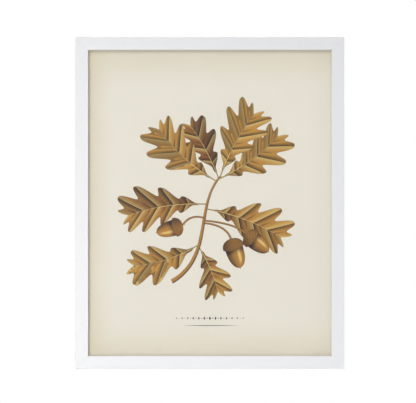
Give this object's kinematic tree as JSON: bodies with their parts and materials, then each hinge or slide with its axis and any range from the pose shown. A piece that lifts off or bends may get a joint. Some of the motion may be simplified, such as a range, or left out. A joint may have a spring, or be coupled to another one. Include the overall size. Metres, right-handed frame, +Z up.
{
  "type": "framed botanical print",
  "caption": "Portrait picture frame: white mitred moulding, clear acrylic, toned plant print, filler and backing boards, turn buttons and a sawtooth hanger; hangs flat on a wall.",
  "frame": {"origin": "the point on the wall's surface where the nail stands, under the middle notch of the sawtooth hanger, at mid width", "axes": "+Z up, +Y back into the wall, +X to the right of a person who looks at the picture; the picture faces -Y"},
  "size_m": [0.436, 0.019, 0.5376],
  "materials": {
    "white_lacquer": "satin white lacquer over wood, smooth, with hairline mitres",
    "acrylic": "clear polished acrylic sheet",
    "toned_paper": "matt cream paper, toned darker towards its edges, printed with a plant drawing",
    "kraft_board": "matt brown corrugated board",
    "fibreboard": "smooth brown fibreboard with a faint fleck",
    "zinc_plate": "zinc-plated steel, lightly brushed",
    "soft_rubber": "matt grey rubber"
  },
  "bodies": {
    "frame": {"rail_top": "white_lacquer", "rail_right": "white_lacquer", "rail_bottom": "white_lacquer", "rail_left": "white_lacquer", "corner_nail_top_right_outer": "zinc_plate", "corner_nail_top_right_inner": "zinc_plate", "corner_nail_bottom_right_outer": "zinc_plate", "corner_nail_bottom_right_inner": "zinc_plate", "corner_nail_bottom_left_outer": "zinc_plate", "corner_nail_bottom_left_inner": "zinc_plate", "corner_nail_top_left_outer": "zinc_plate", "corner_nail_top_left_inner": "zinc_plate", "glazing": "acrylic", "print": "toned_paper", "filler_board": "kraft_board", "backing_board": "fibreboard", "button_screw_top_left": "zinc_plate", "button_screw_top_right": "zinc_plate", "button_screw_right_upper": "zinc_plate", "button_screw_right_lower": "zinc_plate", "button_screw_bottom_right": "zinc_plate", "button_screw_bottom_left": "zinc_plate", "button_screw_left_lower": "zinc_plate", "button_screw_left_upper": "zinc_plate", "sawtooth_hanger": "zinc_plate", "hanger_screw_left": "zinc_plate", "hanger_screw_right": "zinc_plate", "bumper_left": "soft_rubber", "bumper_right": "soft_rubber"},
    "turn_button_top_left": {"turn_button_top_left": "zinc_plate"},
    "turn_button_top_right": {"turn_button_top_right": "zinc_plate"},
    "turn_button_right_upper": {"turn_button_right_upper": "zinc_plate"},
    "turn_button_right_lower": {"turn_button_right_lower": "zinc_plate"},
    "turn_button_bottom_right": {"turn_button_bottom_right": "zinc_plate"},
    "turn_button_bottom_left": {"turn_button_bottom_left": "zinc_plate"},
    "turn_button_left_lower": {"turn_button_left_lower": "zinc_plate"},
    "turn_button_left_upper": {"turn_button_left_upper": "zinc_plate"}
  },
  "joints": [
    {"name": "turn_top_left", "type": "hinge", "parent": "frame", "child": "turn_button_top_left", "pos_m": [-0.109, -0.0023, 0.003], "axis": [0, 1, 0], "continuous": true},
    {"name": "turn_top_right", "type": "hinge", "parent": "frame", "child": "turn_button_top_right", "pos_m": [0.109, -0.0023, 0.003], "axis": [0, 1, 0], "continuous": true},
    {"name": "turn_right_upper", "type": "hinge", "parent": "frame", "child": "turn_button_right_upper", "pos_m": [0.211, -0.0023, -0.1244], "axis": [0, 1, 0], "continuous": true},
    {"name": "turn_right_lower", "type": "hinge", "parent": "frame", "child": "turn_button_right_lower", "pos_m": [0.211, -0.0023, -0.3932], "axis": [0, 1, 0], "continuous": true},
    {"name": "turn_bottom_right", "type": "hinge", "parent": "frame", "child": "turn_button_bottom_right", "pos_m": [0.109, -0.0023, -0.5206], "axis": [0, 1, 0], "continuous": true},
    {"name": "turn_bottom_left", "type": "hinge", "parent": "frame", "child": "turn_button_bottom_left", "pos_m": [-0.109, -0.0023, -0.5206], "axis": [0, 1, 0], "continuous": true},
    {"name": "turn_left_lower", "type": "hinge", "parent": "frame", "child": "turn_button_left_lower", "pos_m": [-0.211, -0.0023, -0.3932], "axis": [0, 1, 0], "continuous": true},
    {"name": "turn_left_upper", "type": "hinge", "parent": "frame", "child": "turn_button_left_upper", "pos_m": [-0.211, -0.0023, -0.1244], "axis": [0, 1, 0], "continuous": true}
  ]
}
